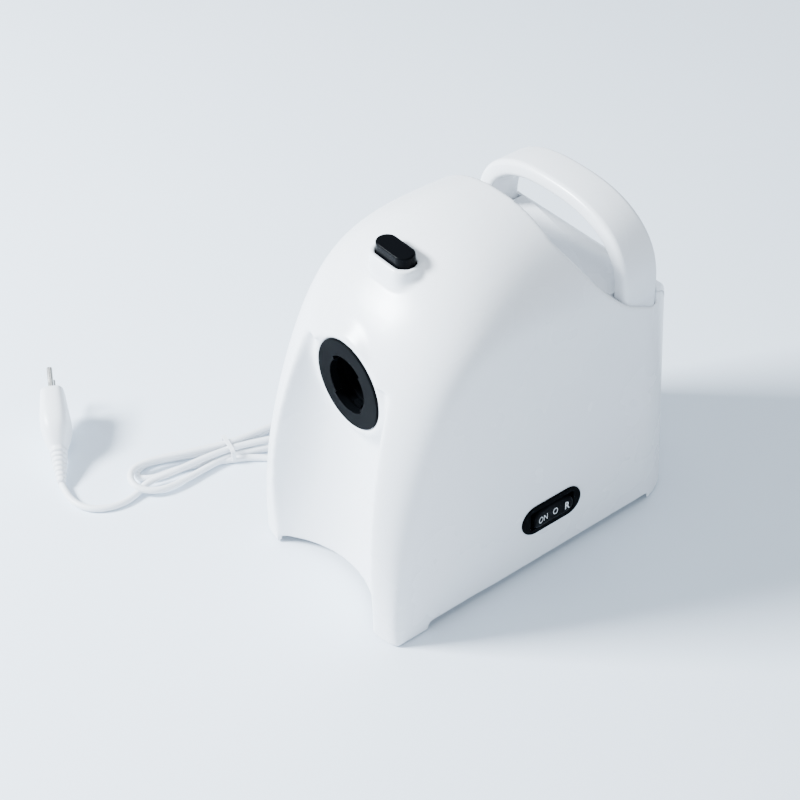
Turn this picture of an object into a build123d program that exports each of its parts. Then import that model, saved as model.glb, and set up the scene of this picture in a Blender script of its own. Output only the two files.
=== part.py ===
"""Electric meat grinder drive unit: housing, carry handle, motor, gear train, controls and mains lead.

Millimetres. +Z is up, +Y points to the rear, +X to the switch side. The origin is the centre of the
machine's footprint on the surface it stands on.
"""
from build123d import *
from math import atan2, cos, pi, radians, sin, tan
import os

os.makedirs("parts", exist_ok=True)

# ---------------------------------------------------------------- housing
HALF_WIDTH = 82.5            # side wall to centre plane
ARCH_POWER = 2.2             # superellipse exponent of the housing's cross-section
WALL = 2.7                   # moulded wall thickness
REAR_Y = 143.9               # rear wall at floor level
REAR_LEAN = 0.06             # the rear wall leans forward by this much per unit of height
REAR_CORNER = 46.0           # plan radius of the two rear corners
JOIN_Y = 75.0                # the swept front passes into the straight-sided rear here
# The front and top are swept by a plane that swings about a line below the housing. Each station is
# (swing angle, crown radius from that line, depth of the arch below the crown).
PIVOT_Y, PIVOT_Z = 83.9, -100.0
STATIONS = [(18, 247.0, 22), (31, 270.5, 18), (44, 316.5, 40), (56, 358.2, 46),
            (67, 386.8, 47), (78, 384.8, 69), (90, 378.0, 73), (103, 388.0, 73)]
LEG_END = 60.0               # the swept sections stop this far from the swing line
# Opening behind the crown, seen from the side (y, z): its edge falls from the crown to the handle notch.
RIM = [(16.4, 279), (24.4, 262), (36.2, 242), (51.8, 221), (68.5, 205), (85.0, 195.5), (94.0, 191.0)]
NOTCH_REAR_Y = 101.4         # rear edge of the notch that the handle leg stands in
# Behind the notch the edge falls along the rear corners to the back wall (y, z).
REAR_RIM = [(NOTCH_REAR_Y, 199.5), (108, 196.5), (114, 190.5), (120, 181), (126, 168.5), (133, 151)]
SKIRT_Z = 6.0                # lower edge of the housing between the corner feet
FOOT_REACH = 34.0            # corner feet run this far along each side
FOOT_LIFT = 0.8              # the rubber feet hold the housing this far off the surface
PLATE_Z = 6.6                # underside of the bottom cover
FEET = [(-63, -122), (63, -122), (-58, 112), (58, 112)]
SCREW_R = 1.6
GAP = 0.4                    # clearance between neighbouring mouldings
SEAT = 8.0                   # depth of the housing's floor behind the crown, measured straight down
COVER_Z = 212.0              # crown of the rear cover
COVER_POWER = 2.0
COVER_SIDE_DROP = 13.5       # the rear cover falls this far from its crown to its sides
COVER_HALF = 66.0            # the cover's front part fits between the handle's legs
# The rear cover's crown line, seen from the side (y, z).
COVER_LINE = [(62, 204), (66, 209), (76, 211.5), (88, 212), (98, 209.5), (106, 204),
              (114, 194), (121, 182), (127, 169), (135.5, 151)]
VENT_HALF, VENT_Z0, VENT_Z1 = 48.0, 40.0, 136.0

# Front recess under the drive socket: a leaning hollow between two pillars.
RECESS_FLOOR_Y = -119.3      # its deepest line at floor level
RECESS_LEAN = 0.171
RECESS_TOP = 196.0

# ---------------------------------------------------------------- drive socket
AXIS_Z = 176.5               # height of the output axis
RING_Y = -111.0              # front face of the socket ring
RING_R = 34.0
RING_T = 3.7
LAND_R = 19.5                # bore that centres the grinding head's neck
SLOT_R = 21.75               # two sectors cut wider for the neck's lugs
SLOT_DEG = 88.0
CHAMBER_R = 22.6             # lug chamber behind the ring
TUBE_R = 26.0
BOSS_R = 38.5                # fairing around the ring, at its face
BOSS_Y = RING_Y + 0.8        # face of the fairing
# Back end of the fairing's flare: a circle tipped back so that its top lies in the hood.
FLARE_R, FLARE_Y, FLARE_Z, FLARE_TIP = 60.3, RING_Y + 21.0, AXIS_Z + 1.5, 5.8
HOLLOW_R, HOLLOW_Y = 41.5, RING_Y + 8.0      # front end of the hollow inside the flare
HOOD_R, HOOD_Y = 50.0, -150.0    # the hood is cut away in front of the ring, out to this cone
LOCK_Y0 = RING_Y + 6.0        # back of the lands and front of the lug chamber
GUIDE_Y0, GUIDE_Y1 = -98.0, -86.0
SOCKET_Y0 = -85.5            # front face of the turning socket

# ---------------------------------------------------------------- gear train and motor
STAGE1 = dict(module=0.85, pinion=9, wheel=63, y=-28.0, width=8.0)
STAGE2 = dict(module=1.2, pinion=11, wheel=55, y=-45.0, width=12.0)
MID_Z = AXIS_Z - STAGE2["module"] * (STAGE2["pinion"] + STAGE2["wheel"]) / 2
MOTOR_Z = MID_Z - STAGE1["module"] * (STAGE1["pinion"] + STAGE1["wheel"]) / 2
RUN = 0.05                   # radial clearance of a running fit
SHAFT_R = 4.0
OUT_R = 9.0                  # output shaft
BUSH_R = 13.0
BACKLASH = 0.17
COMMUTATOR_R = 12.0
BEARINGS = (2.0, 85.0)       # front faces of the two motor bearings
GEARBOX_Y0, GEARBOX_Y1 = -60.0, -19.0
GEARBOX_Z0, GEARBOX_Z1 = 90.0, 216.0
STATOR_Y0, STATOR_Y1 = 18.0, 58.0
STATOR_HALF = 34.0
ARMATURE_R = 20.0

# ---------------------------------------------------------------- controls
BUTTON_Y, BUTTON_Z = -65.5, 263.2
BUTTON_L, BUTTON_W, BUTTON_H = 34.0, 15.5, 7.6
SEAT_Z = 241.2               # top of the spring's seat
SWITCH_Y, SWITCH_Z = 4.9, 49.9
SWITCH_L, SWITCH_W = 56.0, 26.0
ROCKER_L, ROCKER_W = 40.0, 16.0
ROCKER_END_H, ROCKER_MID_H = 3.9, 2.2    # how far its ends and its middle stand out of the wall
TIP_Y0, TIP_Y1 = -103.0, -99.5   # the slide's locking tip, in the lug chamber
LATCH_Y = -84.5              # front face of the locking slide

# ---------------------------------------------------------------- handle
HANDLE_Y0, HANDLE_Y1 = 68.7, 100.4
HANDLE_HALF = 80.6
HANDLE_BASE_Z = 207.5
HANDLE_RISE = 60.0
HANDLE_BAND = 12.8
HANDLE_CORNER = 57.0
HANDLE_EDGE = 2.0
LEG_Z = 168.0

# ---------------------------------------------------------------- cord
CORD_D = 5.5
HANK_NEAR, HANK_TIE, HANK_FAR = (-184.0, -194.0), (-167.5, -117.0), (-151.0, -38.0)
HANK_H, HANK_Z = 10.8, 1.6       # height, and the gap under it that the tie takes up
EXIT = (-50.0, 143.0, 22.0)
EXIT_END = 172.0             # end of the strain relief
LEAD = [(-50, 190, 20), (-53, 208, 8), (-70, 226, 2.95), (-97, 222, 2.95), (-116, 200, 2.95),
        (-121, 165, 2.95), (-117, 120, 2.95), (-113, 72, 2.95), (-111, 22, 2.95), (-108, -24, 2.95),
        (-112, -60, 2.95), (-131, -88, 2.95), (-160, -110, 5.0)]
TAIL = [(-167, -186, 4.6), (-176, -205, 2.95), (-175, -225, 2.95), (-184, -241, 2.95), (-200, -247, 2.95)]
PLUG_BACK = (-219.0, -241.0, 4.6)
PLUG_AXIS = Vector(-0.849, 0.426, 0.313).normalized()
PLUG_L = 85.0
# (distance from the cord, width, height) of the plug's body
PLUG_SECTIONS = [(0, 8.4, 8.8), (14, 13, 15), (30, 18, 23), (44, 24, 34), (62, 24, 35), (PLUG_L, 20, 28)]
PIN_L, PIN_R, PIN_GAP = 19.0, 2.4, 19.0


def write(node, shape):
    """One STEP per node."""
    if isinstance(shape, (list, tuple, ShapeList)):
        shape = Compound(children=list(shape))
    shape.label = node
    export_step(shape, f"parts/{node}.step")


def cylinder_y(radius, y0, y1, x=0.0, z=0.0):
    """A cylinder along Y from y0 to y1."""
    return extrude(Plane.XZ.offset(-y0) * Pos(x, z) * Circle(radius), -(y1 - y0))


def cylinder_z(radius, z0, z1, x=0.0, y=0.0):
    """A cylinder along Z from z0 to z1."""
    return extrude(Plane.XY.offset(z0) * Pos(x, y) * Circle(radius), z1 - z0)


def block(x0, x1, y0, y1, z0, z1):
    """A box between two corners."""
    return Pos((x0 + x1) / 2, (y0 + y1) / 2, (z0 + z1) / 2) * Box(abs(x1 - x0), abs(y1 - y0), abs(z1 - z0))


# ================================================================ housing
def swing_frame(angle):
    """Unit direction, in Y and Z, from the swing line towards the housing's skin."""
    return -cos(radians(angle)), sin(radians(angle))


def arch_section(angle, crown, depth, inset):
    """A closed section of the housing in one plane through the swing line."""
    dy, dz = swing_frame(angle)
    half = HALF_WIDTH - inset
    top = crown - inset

    def place(x, radius):
        return Vector(x, PIVOT_Y + radius * dy, PIVOT_Z + radius * dz)

    points = []
    for step in range(0, 19):
        t = pi * step / 18
        x = -half * (1 if cos(t) >= 0 else -1) * abs(cos(t)) ** (2 / ARCH_POWER)
        drop = depth * (1 - sin(t) ** (2 / ARCH_POWER)) if 0 < step < 18 else depth
        points.append(place(x, top - drop))
    up = Vector(0, dy, dz)
    arch = Spline(*points, tangents=[up, up * -1])
    legs = Polyline(points[-1], place(half, LEG_END), place(-half, LEG_END), points[0])
    return Wire((arch.edges() + legs.edges()))


def left_front(inset, slack=0.0):
    """Left half of the solid under the housing's swept front and top."""
    swept = Solid.make_loft([arch_section(a, r, d, inset) for a, r, d in STATIONS], ruled=False)
    return swept & block(-200 - slack, slack, -300 - slack, JOIN_Y + slack, -slack, 400)


def both_sides(half):
    return half + mirror(half, about=Plane.YZ)


def rear_block(inset, top=212.0):
    """The straight-sided rear of the housing, with rounded corners, sheared to the lean of its back wall."""
    half, rear = HALF_WIDTH - inset, REAR_Y - inset
    corner = REAR_CORNER - inset
    front = JOIN_Y - 40
    outline = make_face(Polyline((half, rear - corner), (half, front), (-half, front), (-half, rear - corner))
                        + RadiusArc((-half, rear - corner), (corner - half, rear), corner)
                        + Line((corner - half, rear), (half - corner, rear))
                        + RadiusArc((half - corner, rear), (half, rear - corner), corner))
    column = Pos(0, REAR_LEAN * 20, -20) * extrude(outline, amount=260, dir=(0, -REAR_LEAN, 1))
    return column & block(-200, 200, JOIN_Y, 300, 0, top)


def rear_opening(lower=0.0):
    """Everything above and behind the rim of the housing."""
    rim = Plane.YZ.offset(-120) * Spline(*[(y, z - lower) for y, z in RIM[1:]])
    first, last = RIM[1], RIM[-1]
    edges = Plane.YZ.offset(-120) * Polyline(
        (last[0], last[1] - lower), (NOTCH_REAR_Y, last[1] - lower), *[(y, z - lower) for y, z in REAR_RIM],
        (260, REAR_RIM[-1][1] - lower), (260, 330), (first[0], 330), (first[0], first[1] - lower))
    return extrude(make_face(rim.edges() + edges.edges()), 240, dir=(1, 0, 0))


def recess(grow=0.0):
    """The leaning hollow between the front pillars, moved back and widened by grow."""
    sections = []
    for z, half, depth in ((-10, 62, 23.7), (90, 55, 30), (RECESS_TOP + grow, 47, 27)):
        floor_y = RECESS_FLOOR_Y + RECESS_LEAN * z + grow
        half += grow
        arc = ThreePointArc((-half, floor_y - depth, z), (0, floor_y, z), (half, floor_y - depth, z))
        front = Polyline((half, floor_y - depth, z), (half + 30, -200, z), (-half - 30, -200, z),
                         (-half, floor_y - depth, z))
        sections.append(Wire(arc.edges() + front.edges()))
    return Solid.make_loft(sections, ruled=False)


def axis_cone(radius0, y0, radius1, y1):
    """A cone about the output axis."""
    return loft([Plane.XZ.offset(-y) * Pos(0, AXIS_Z) * Circle(r) for y, r in ((y0, radius0), (y1, radius1))])


def flare(radius, face_y, base_r, shift=0.0):
    """A cone from a circle on the output axis to the tipped circle behind the fairing."""
    tip = radians(FLARE_TIP)
    base = Plane(origin=(0, FLARE_Y + shift, FLARE_Z), x_dir=(1, 0, 0), z_dir=(0, -cos(tip), sin(tip)))
    return loft([Plane.XZ.offset(-face_y) * Pos(0, AXIS_Z) * Circle(radius), base * Circle(base_r)])


def hood_cut(grow=0.0):
    """The cone cleared in front of the ring, widened by grow."""
    return axis_cone(BOSS_R + grow, BOSS_Y, HOOD_R + grow, HOOD_Y)


def button_boss(grow=0.0, top=BUTTON_Z):
    """The raised stadium that the release button slides in."""
    return Pos(0, BUTTON_Y, top - 18) * extrude(SlotOverall(44 - 2 * grow, 25 - 2 * grow), 18)


def leg_slot(side):
    """Where a leg of the handle passes down inside the side wall."""
    return block(side * (HANDLE_HALF - HANDLE_BAND - GAP), side * (HALF_WIDTH - WALL),
                 HANDLE_Y0 - GAP, HANDLE_Y1 + GAP, LEG_Z - 10, 230)


def button_hole():
    return Pos(0, BUTTON_Y, BUTTON_Z - 40) * extrude(SlotOverall(BUTTON_L + 1.0, BUTTON_W + 1.0), 60)


def under_cut():
    """What is open under the skirt, between the four corner feet."""
    sides = block(-120, 120, -142 + FOOT_REACH, REAR_Y - FOOT_REACH - 4, -60, SKIRT_Z)
    front = block(-60, 60, -200, 0, -60, SKIRT_Z)
    rear = block(-52, 52, 0, 200, -60, SKIRT_Z)
    return [sides, front, rear]


def switch_plane(offset=0.0):
    """On the side wall, local X runs along the rocker and local Y up."""
    return Plane(origin=(HALF_WIDTH + offset, SWITCH_Y, SWITCH_Z), x_dir=(0, 1, 0), z_dir=(1, 0, 0))


def make_housing():
    outer = left_front(0)
    shell = outer - left_front(WALL, 1.0)
    shell = (shell - recess()) + ((recess(WALL) - recess()) & outer)
    shell = both_sides(shell + ((hood_cut(WALL) & outer) - recess()))
    shell += flare(BOSS_R, BOSS_Y, FLARE_R)
    shell -= flare(HOLLOW_R, HOLLOW_Y, FLARE_R - 1.8, 3.3)
    shell -= cylinder_y(BOSS_R - 3, HOLLOW_Y, RING_Y + 80, 0, AXIS_Z)
    shell -= hood_cut()
    shell -= cylinder_y(RING_R + 0.3, -150, RING_Y + RING_T, 0, AXIS_Z)
    shell += rear_block(0) - rear_block(WALL)
    shell += button_boss()
    shell -= button_boss(WALL, BUTTON_Z - WALL)
    shell -= cylinder_y(TUBE_R + 0.4, -150, 0, 0, AXIS_Z)
    shell -= rear_opening()
    well = (rear_opening(SEAT) - rear_opening()) & block(-200, 200, 0, NOTCH_REAR_Y + 3, 150, 300)
    rim_y, rim_z = RIM[1]
    crown_wall = block(-200, 200, rim_y - WALL, rim_y, rim_z - SEAT, 300)
    shell += both_sides((well + crown_wall) & outer)
    shell += well & rear_block(0)
    for side in (-1, 1):
        shell -= leg_slot(side)
    for cutter in under_cut():
        shell -= cutter
    shell -= block(-200, 200, -300, 300, -10, FOOT_LIFT)
    shell -= button_hole()
    shell -= extrude(switch_plane(-10) * RectangleRounded(SWITCH_L - 7.4, SWITCH_W - 7.4, 8.3), 20)
    shell -= block(-VENT_HALF, VENT_HALF, REAR_Y - 30, REAR_Y + 20, VENT_Z0, VENT_Z1)
    shell -= cylinder_y(6.2, 100, 200, EXIT[0], EXIT[2])
    return shell


# ================================================================ covers and handle
def cover_solid(inset):
    """The solid under the rear cover: an arch across the machine cut to the cover's side profile."""
    points = []
    half = HALF_WIDTH - inset + 0.6
    for step in range(17):
        t = pi * step / 16
        x = -half * (1 if cos(t) >= 0 else -1) * abs(cos(t)) ** (2 / COVER_POWER)
        drop = COVER_SIDE_DROP * (1 - sin(t) ** (2 / COVER_POWER)) if 0 < step < 16 else COVER_SIDE_DROP
        points.append((x, COVER_Z - inset - drop))
    arch = Spline(*points, tangents=[(0, 1), (0, -1)])
    arch += Polyline(points[-1], (half, 150), (-half, 150), points[0])
    across = extrude(Plane.XZ * make_face(arch), -200)
    middle = (COVER_LINE[0][0] + COVER_LINE[-1][0]) / 2
    line = []
    for y, z in COVER_LINE:
        inward = 0 if abs(y - middle) <= 20 else 1 if y < middle else -1
        line.append((y + inset * inward, z - inset))
    profile = Spline(*line) + Polyline(line[-1], (line[-1][0], 150), (line[0][0], 150), line[0])
    along = extrude(Plane.YZ.offset(-120) * make_face(profile), 240)
    plan = rear_block(inset, 260) - block(-200, 200, 0, NOTCH_REAR_Y + GAP + inset, 0, 300)
    front = COVER_HALF - inset
    return across & along & (plan + block(-front, front, 50, NOTCH_REAR_Y + 10, 100, 300))


def make_rear_cover():
    """Domed cover behind the handle; it stands on the housing's floor and on the rear wall."""
    return (cover_solid(0) - cover_solid(WALL)) & rear_opening()


def handle_arch(inset):
    """The handle's outline in X and Z: legs, two corner arcs and a flatter arc across the top."""
    half, corner, rise = HANDLE_HALF - inset, HANDLE_CORNER - inset, HANDLE_RISE - inset
    side = half - corner
    crown = (side ** 2 + rise ** 2 - corner ** 2) / (2 * (rise - corner))
    base, turn = HANDLE_BASE_Z, atan2(crown - rise, side)
    join = (side + corner * cos(turn), base + corner * sin(turn))
    middle = (side + corner * cos(turn / 2), base + corner * sin(turn / 2))
    right = Line((half, LEG_Z), (half, base)) + ThreePointArc((half, base), middle, join)
    top = ThreePointArc(join, (0, base + rise), (-join[0], join[1]))
    left = ThreePointArc((-join[0], join[1]), (-middle[0], middle[1]), (-half, base))
    legs = Line((-half, base), (-half, LEG_Z)) + Line((-half, LEG_Z), (half, LEG_Z))
    return make_face(right + top + left + legs)


def make_handle():
    """Carry handle: one arch whose legs stand inside the side walls."""
    band = handle_arch(0) - handle_arch(HANDLE_BAND)
    handle = extrude(Plane.XZ.offset(-HANDLE_Y0) * band, -(HANDLE_Y1 - HANDLE_Y0))
    ends = [e for e in handle.edges() if e.bounding_box().size.Y < 0.5 and e.bounding_box().size.Z > 1]
    handle = fillet(ends, HANDLE_EDGE)
    for side in (-1, 1):
        flank = block(side * (HALF_WIDTH - WALL), side * 100, 50, 120, 100, 260)
        handle -= flank - rear_opening(-GAP)
    return handle


def make_base_plate():
    """Bottom cover, inside the skirt, with a post under each corner foot."""
    layer = block(-200, 200, -300, 300, PLATE_Z, PLATE_Z + WALL)
    plate = both_sides((left_front(WALL) - recess(WALL)) & layer)
    plate += rear_block(WALL) & layer
    for x, y in FEET:
        plate += cylinder_z(5.0, PLATE_Z, PLATE_Z + 12, x, y)
        plate -= cylinder_z(SCREW_R, PLATE_Z - 1, PLATE_Z + 11, x, y)
    return plate


def make_feet():
    feet = []
    for x, y in FEET:
        foot = cylinder_z(8.0, 0, PLATE_Z, x, y) - cylinder_z(3.2, -1, 3, x, y)
        feet.append(foot - cylinder_z(SCREW_R, 0, 9, x, y))
    return feet


def make_foot_screws():
    """Screws through the feet into the bottom cover's posts."""
    screws = []
    for x, y in FEET:
        screws.append(cylinder_z(3.0, 1.2, 3, x, y) + cylinder_z(SCREW_R, 3, PLATE_Z + 9, x, y))
    return screws


def make_vent_panel():
    """Louvred panel in the back wall."""
    panel = (rear_block(GAP, 175) - rear_block(WALL - GAP, 175)) & block(
        -VENT_HALF, VENT_HALF, 100, 300, VENT_Z0 + GAP, VENT_Z1 - GAP)
    for row in range(7):
        z = VENT_Z0 + 12 + row * 12
        for x in (-24, 24):
            slot = Rot(90, 0, 0) * extrude(SlotOverall(36, 4.4), 12, both=True)
            panel -= Pos(x, REAR_Y - REAR_LEAN * z, z) * slot
    return panel


# ================================================================ drive socket
def sector(radius, middle_deg, span_deg):
    """A pie slice in a sketch plane."""
    a0, a1 = radians(middle_deg - span_deg / 2), radians(middle_deg + span_deg / 2)
    reach = radius / cos((a1 - a0) / 2) + 1
    tip = (reach * cos((a0 + a1) / 2), reach * sin((a0 + a1) / 2))
    wedge = make_face(Polyline((0, 0), (reach * cos(a0), reach * sin(a0)), tip,
                               (reach * cos(a1), reach * sin(a1)), close=True))
    return wedge & Circle(radius)


def make_socket_collar():
    """Black ring with its lug slots, the lug chamber and the guide bore behind it."""
    land = Circle(LAND_R)
    mouth = land + sector(SLOT_R, 90, SLOT_DEG) + sector(SLOT_R, -90, SLOT_DEG)

    def disc(shape, y0, y1):
        return extrude(Plane.XZ.offset(-y0) * Pos(0, AXIS_Z) * shape, -(y1 - y0))

    collar = disc(Circle(RING_R), RING_Y, RING_Y + RING_T) + disc(Circle(TUBE_R), RING_Y + RING_T, GUIDE_Y1)
    collar = fillet(collar.edges().filter_by(GeomType.CIRCLE).sort_by(Axis.Y)[0], 1.0)
    collar -= disc(mouth, RING_Y - 1, LOCK_Y0)
    collar -= disc(Circle(CHAMBER_R), LOCK_Y0, GUIDE_Y0)
    collar -= disc(land, GUIDE_Y0 - 0.1, GUIDE_Y1 + 1)
    return collar - block(-5, 5, TIP_Y0 - GAP, TIP_Y1 + GAP, AXIS_Z - 30, AXIS_Z - LAND_R)


def hexagon_y(across, y0, y1, z):
    face = Plane.XZ.offset(-y0) * Pos(0, z) * RegularPolygon(across / 2, 6, major_radius=False)
    return extrude(face, -(y1 - y0))


def make_drive_socket():
    """Output shaft; its front end is the hexagonal socket that turns the grinding head's screw."""
    shaft = cylinder_y(12.5, SOCKET_Y0, -64, 0, AXIS_Z) + cylinder_y(OUT_R, -64, -15, 0, AXIS_Z)
    shaft = chamfer(shaft.edges().filter_by(GeomType.CIRCLE).sort_by(Axis.Y)[0], 1.0)
    return shaft - hexagon_y(13.0, SOCKET_Y0 - 1, SOCKET_Y0 + 17, AXIS_Z)


# ================================================================ gears
def gear_face(module, teeth, phase_deg, bore, addendum):
    """A spur gear's outline: straight-flanked teeth a little narrower than their gaps."""
    pitch_r = module * teeth / 2
    root_r, tip_r = pitch_r - 1.2 * module, pitch_r + addendum * module
    pitch_half = pi / teeth / 2 * (1 - BACKLASH / module)
    flank = tan(radians(20))
    outline = []
    for tooth in range(teeth):
        middle = radians(phase_deg) + 2 * pi * tooth / teeth
        half_root = min(pitch_half + (pitch_r - root_r) * flank / pitch_r, pi / teeth * 0.92)
        half_tip = pitch_half - (tip_r - pitch_r) * flank / pitch_r
        profile = ((root_r, -half_root), (pitch_r, -pitch_half), (tip_r, -half_tip),
                   (tip_r, half_tip), (pitch_r, pitch_half), (root_r, half_root))
        for radius, offset in profile:
            outline.append((radius * cos(middle + offset), radius * sin(middle + offset)))
    face = make_face(Polyline(*outline, close=True))
    return face - Circle(bore) if bore else face


def gear(stage, which, z, bore, phase, extra=0.0):
    """A gear of one stage, centred on the stage's plane, with its axis at height z."""
    teeth = stage[which]
    addendum = 1.0 if which == "pinion" else 0.7
    face = gear_face(stage["module"], teeth, phase, bore, addendum)
    width = stage["width"] + extra
    y0 = stage["y"] - width / 2
    return extrude(Plane.XZ.offset(-y0) * Pos(0, z) * face, -width)


def make_gearbox_housing():
    shell = block(-41, 41, GEARBOX_Y0, GEARBOX_Y1, GEARBOX_Z0, GEARBOX_Z1)
    shell = fillet(shell.edges().filter_by(Axis.Y), 12)
    hollow = block(-38, 38, GEARBOX_Y0 + 5, GEARBOX_Y1 + 1, GEARBOX_Z0 + 3, GEARBOX_Z1 - 3)
    shell -= fillet(hollow.edges().filter_by(Axis.Y), 9)
    shell += cylinder_y(19, GEARBOX_Y0 - 4, GEARBOX_Y0, 0, AXIS_Z)
    shell -= cylinder_y(BUSH_R, GEARBOX_Y0 - 5, GEARBOX_Y0 + 6, 0, AXIS_Z)
    shell -= cylinder_y(SHAFT_R + RUN, GEARBOX_Y0 + 1, GEARBOX_Y0 + 6, 0, MID_Z)
    return shell


def make_gearbox_cover():
    cover = block(-41, 41, GEARBOX_Y1, GEARBOX_Y1 + 4, GEARBOX_Z0, GEARBOX_Z1)
    cover = fillet(cover.edges().filter_by(Axis.Y), 12)
    cover -= cylinder_y(OUT_R + RUN, GEARBOX_Y1 - 1, GEARBOX_Y1 + 6, 0, AXIS_Z)
    cover -= cylinder_y(SHAFT_R + RUN, GEARBOX_Y1 - 1, GEARBOX_Y1 + 6, 0, MID_Z)
    cover -= cylinder_y(SHAFT_R + 2, GEARBOX_Y1 - 1, GEARBOX_Y1 + 6, 0, MOTOR_Z)
    return cover


def make_gearbox_screws():
    """Four screws that hold the cover on the gear case."""
    screws = []
    for x in (-33, 33):
        for z in (GEARBOX_Z0 + 10, GEARBOX_Z1 - 10):
            screws.append(cylinder_y(3.5, GEARBOX_Y1 + 4, GEARBOX_Y1 + 7, x, z))
    return screws


# ================================================================ motor
def motor_cyl(radius, y0, y1):
    return cylinder_y(radius, y0, y1, 0, MOTOR_Z)


def make_stator():
    half = STATOR_HALF
    core = block(-half, half, STATOR_Y0, STATOR_Y1, MOTOR_Z - half, MOTOR_Z + half)
    core = fillet(core.edges().filter_by(Axis.Y), 8) - motor_cyl(ARMATURE_R + 0.6, 0, 100)
    for x in (-1, 1):
        for z in (-1, 1):
            core -= block(x * 14, x * 27, 0, 100, MOTOR_Z + z * 16, MOTOR_Z + z * 24.5)
    return core


def make_field_coils():
    """Two wound coils, above and below the armature."""
    coils = []
    for side in (-1, 1):
        z0, z1 = sorted((MOTOR_Z + side * 16.4, MOTOR_Z + side * 24.1))
        ring = block(-26.6, 26.6, STATOR_Y0 - 8, STATOR_Y1 + 8, z0, z1)
        ring = fillet(ring.edges().filter_by(Axis.Z), 8)
        hole = block(-20.8, 20.8, STATOR_Y0 - 1, STATOR_Y1 + 1, z0 - 1, z1 + 1)
        coils.append(ring - hole)
    return coils


def make_armature():
    core = motor_cyl(ARMATURE_R, STATOR_Y0, STATOR_Y1) - motor_cyl(SHAFT_R, 0, 100)
    for index in range(12):
        angle = 30 * index
        slot = Pos(0, 0, MOTOR_Z) * Rot(0, angle, 0) * Pos(0, 38, ARMATURE_R - 3) * Box(2.4, 60, 8)
        core -= slot
    return core


def make_windings():
    return [motor_cyl(15.5, y0, y1) - motor_cyl(SHAFT_R, 0, 100)
            for y0, y1 in ((STATOR_Y0 - 7, STATOR_Y0), (STATOR_Y1, STATOR_Y1 + 7))]


def make_commutator():
    ring = motor_cyl(COMMUTATOR_R, 68, 82) - motor_cyl(SHAFT_R, 0, 100)
    for index in range(24):
        ring -= Pos(0, 0, MOTOR_Z) * Rot(0, 15 * index, 0) * Pos(0, 75, COMMUTATOR_R) * Box(0.6, 12, 1.6)
    return ring


def make_fan():
    fan = motor_cyl(30, -5, -3.5) + motor_cyl(9, -11, -3.5)
    for index in range(11):
        fan += Pos(0, 0, MOTOR_Z) * Rot(0, 360 / 11 * index, 0) * Pos(0, -7.5, 19) * Box(1.6, 7, 21)
    return fan - motor_cyl(SHAFT_R, -20, 20)


def make_bearings():
    return [motor_cyl(11, y0, y0 + 7) - motor_cyl(SHAFT_R + RUN, 0, 100) for y0 in BEARINGS]


def make_bracket(bearing_y, post_y0, post_y1):
    """A bridge that holds one bearing, on two posts from the stator."""
    y0, y1 = bearing_y, bearing_y + 7
    bridge = block(-9, 9, y0, y1, MOTOR_Z - 33, MOTOR_Z + 33) + motor_cyl(15, y0, y1)
    for side in (-1, 1):
        bridge += block(-6, 6, min(y0, post_y0), max(y1, post_y1), MOTOR_Z + side * 27, MOTOR_Z + side * 33)
    return bridge - motor_cyl(11, y0 - 1, y1 + 1)


def make_brush_holders():
    """Two brass boxes that guide the brushes; each stands on an arm from the rear bracket."""
    holders = []
    for side in (-1, 1):
        box = block(side * 14, side * 31, 70.5, 79.5, MOTOR_Z - 5.5, MOTOR_Z + 5.5)
        box -= block(side * 13, side * 40, 72, 78, MOTOR_Z - 4, MOTOR_Z + 4)
        holders.append(box)
    return holders


def make_brush_yoke():
    """Insulated ring that carries the brush boxes on the rear bracket's posts."""
    yoke = motor_cyl(37, 70.5, 79.5) - motor_cyl(30, 60, 90)
    yoke -= block(-31, 31, 70, 80, MOTOR_Z - 5.5, MOTOR_Z + 5.5)
    return yoke - block(-6, 6, 70, 80, MOTOR_Z - 33, MOTOR_Z + 33)


def make_brushes():
    return [block(side * 12.4, side * 26, 72.2, 77.8, MOTOR_Z - 3.8, MOTOR_Z + 3.8) for side in (-1, 1)]


def make_motor_cradle():
    """Two rubber-lined posts from the bottom cover to the stator."""
    floor = PLATE_Z + WALL
    cradle = block(-30, 30, STATOR_Y0 + 2, STATOR_Y1 - 2, floor, floor + 4)
    for side in (-1, 1):
        cradle += block(side * 18, side * 26, STATOR_Y0 + 4, STATOR_Y1 - 4, floor, MOTOR_Z - STATOR_HALF)
    return cradle


def make_gearbox_leg():
    """Post under the gear case."""
    return (block(-32, 32, GEARBOX_Y0 + 6, GEARBOX_Y1 - 4, GEARBOX_Z0 - 5, GEARBOX_Z0)
            + block(-10, 10, GEARBOX_Y0 + 8, GEARBOX_Y1 - 6, PLATE_Z + WALL, GEARBOX_Z0 - 5))


# ================================================================ controls
def stem_top():
    return BUTTON_Z - WALL - 2.6


def make_button():
    """Release button with the stop flange that keeps it in the housing."""
    body = extrude(SlotOverall(BUTTON_L, BUTTON_W), BUTTON_H + WALL + 1.6)
    button = Pos(0, BUTTON_Y, stem_top() + 1) * body
    button = fillet(button.edges().group_by(Axis.Z)[-1], 1.4)
    return button + Pos(0, BUTTON_Y, stem_top()) * extrude(SlotOverall(BUTTON_L + 3, BUTTON_W + 3), 2.4)


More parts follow.
